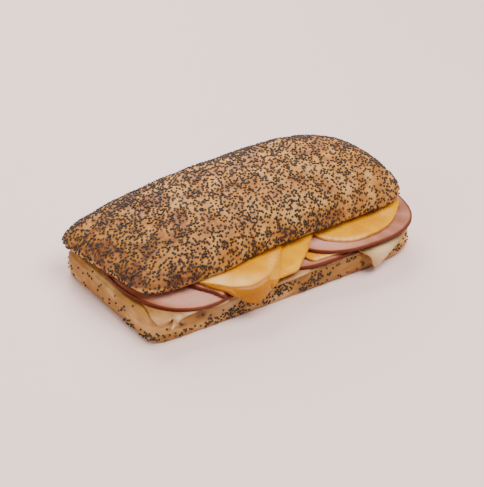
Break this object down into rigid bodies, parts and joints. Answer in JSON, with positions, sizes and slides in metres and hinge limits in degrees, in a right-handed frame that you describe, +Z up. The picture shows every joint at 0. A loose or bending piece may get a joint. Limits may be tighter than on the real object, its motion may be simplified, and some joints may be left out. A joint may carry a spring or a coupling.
{
  "type": "smoked turkey ciabatta sandwich",
  "caption": "Filled ciabatta roll: poppy-seeded crown and heel, with smoked turkey slices and yellow and white cheese slices showing along its open front.",
  "frame": {"origin": "under the middle of the whole sandwich's box, on the surface that the heel rests on", "axes": "+X along the roll, from its blunt lower end to its taller end; +Y from the open, filled front to the back; +Z up"},
  "size_m": [0.185, 0.1002, 0.0526],
  "materials": {
    "crown_crust": "baked golden-brown crust with dark poppy seeds",
    "heel_crust": "paler baked crust with a few poppy seeds",
    "turkey": "moist pale pink sliced meat with a red-brown smoked rim",
    "yellow_cheese": "soft glossy yellow cheese",
    "white_cheese": "soft translucent cream cheese slice"
  },
  "bodies": {
    "root": {"heel": "heel_crust", "crown": "crown_crust", "white_cheese_left": "white_cheese", "white_cheese_middle": "white_cheese", "white_cheese_right": "white_cheese", "turkey_left_lower": "turkey", "turkey_right_lower": "turkey", "turkey_left_upper": "turkey", "turkey_right_upper": "turkey", "cheese_sliver": "yellow_cheese", "cheese_right": "yellow_cheese", "cheese_side": "yellow_cheese", "cheese_folded": "yellow_cheese"}
  },
  "joints": []
}
